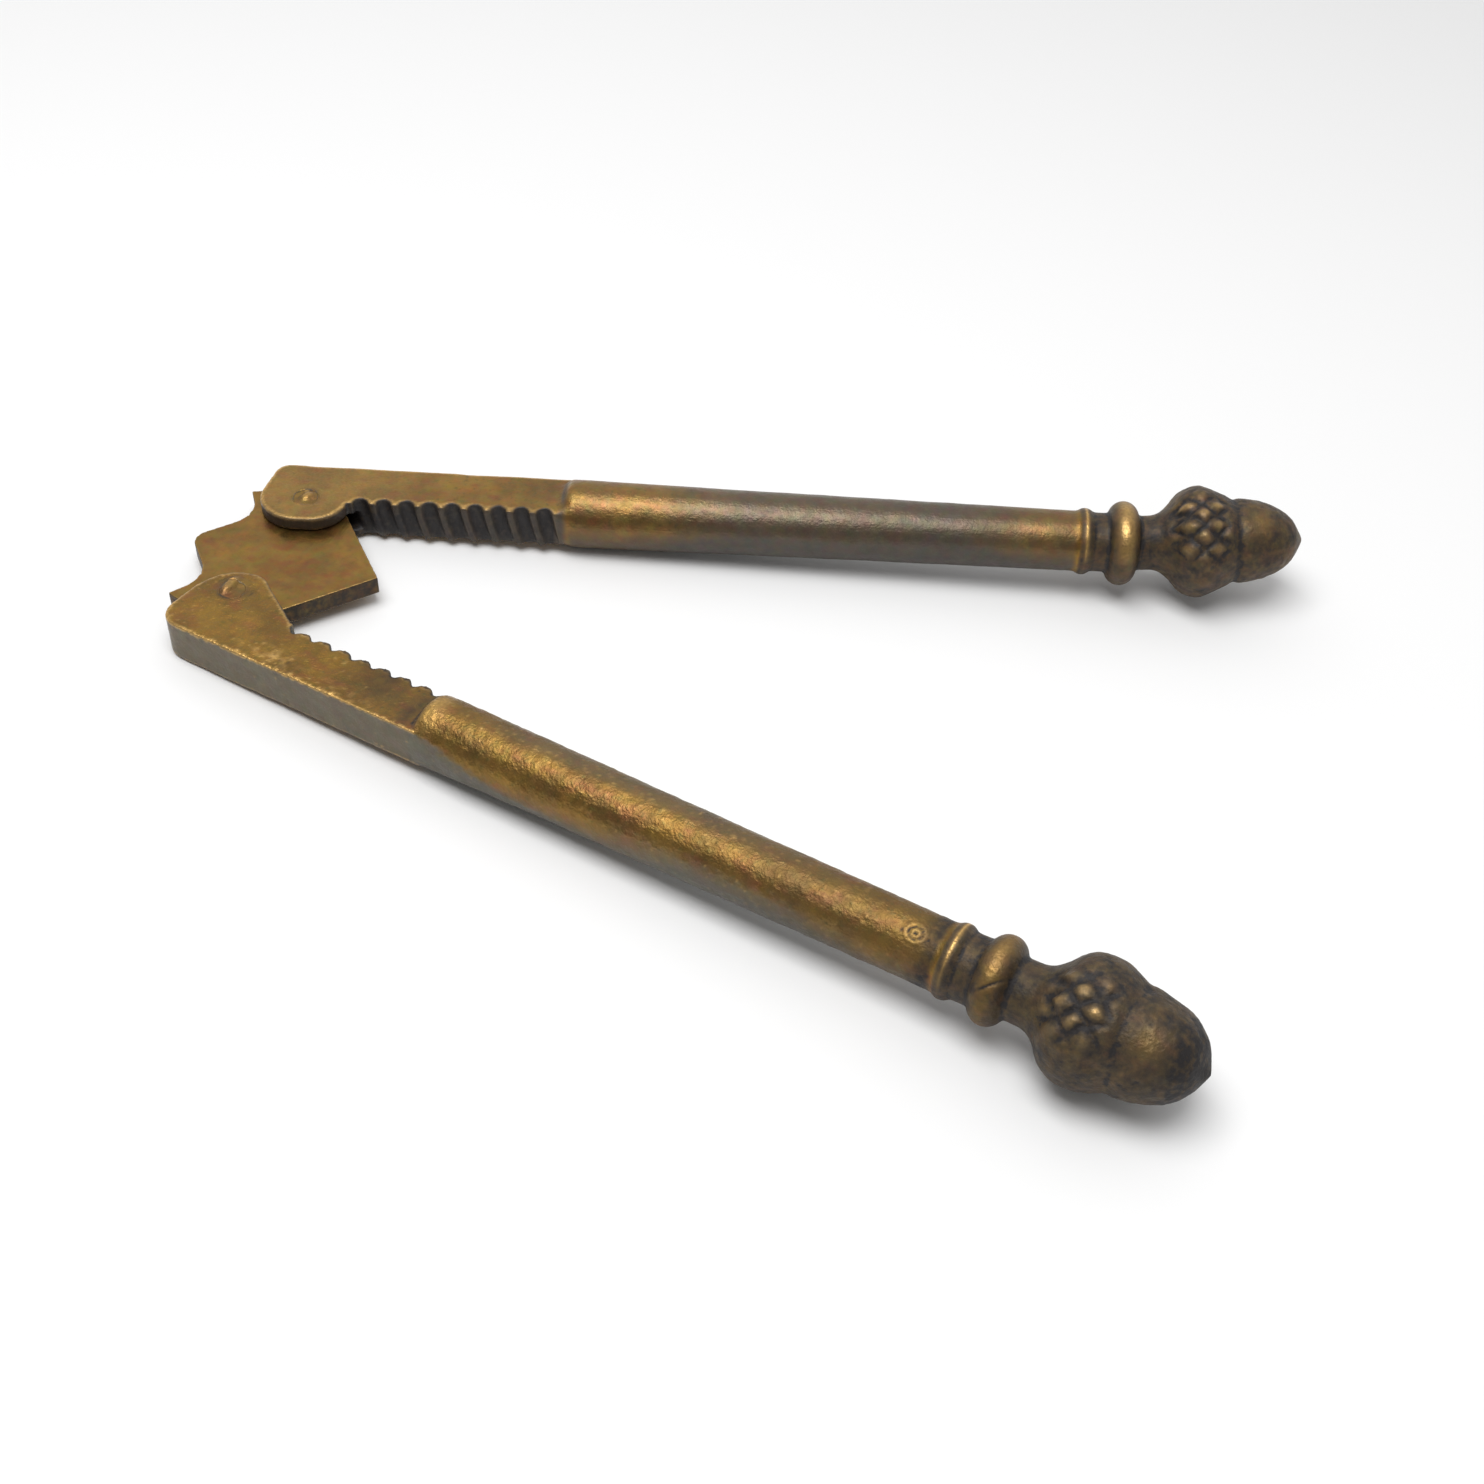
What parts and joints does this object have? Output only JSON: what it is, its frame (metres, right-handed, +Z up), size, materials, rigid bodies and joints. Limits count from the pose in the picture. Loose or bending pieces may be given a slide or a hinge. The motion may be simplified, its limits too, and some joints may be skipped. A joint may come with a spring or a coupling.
{
  "type": "nutcracker",
  "caption": "Lever nutcracker: two cast arms with grooved jaws and acorn ends, each riveted in a forked head to a flat hinge link.",
  "frame": {"origin": "middle of the bounding box with the arms at rest", "axes": "+X from the hinge link towards the acorn ends, +Y to the rear arm, +Z up along the hinge pins"},
  "size_m": [0.1574, 0.112, 0.0176],
  "materials": {
    "rear_arm_brass": "aged cast brass, worn smooth",
    "front_arm_brass": "aged cast brass, pitted",
    "pin_brass": "peened, aged brass",
    "link_brass": "aged sheet brass, brushed"
  },
  "bodies": {
    "link": {"hinge_link": "link_brass"},
    "rear_lever": {"rear_arm": "rear_arm_brass", "rear_pin": "pin_brass"},
    "front_lever": {"front_arm": "front_arm_brass", "front_pin": "pin_brass"}
  },
  "joints": [
    {"name": "rear_hinge", "type": "hinge", "parent": "link", "child": "rear_lever", "pos_m": [-0.06632, 0.01091, -0.00032], "axis": [0, 0, 1], "range_deg": [-16.9, 17.9]},
    {"name": "front_hinge", "type": "hinge", "parent": "link", "child": "front_lever", "pos_m": [-0.06632, -0.01209, -0.00032], "axis": [0, 0, -1], "range_deg": [-16.5, 19.2]}
  ]
}
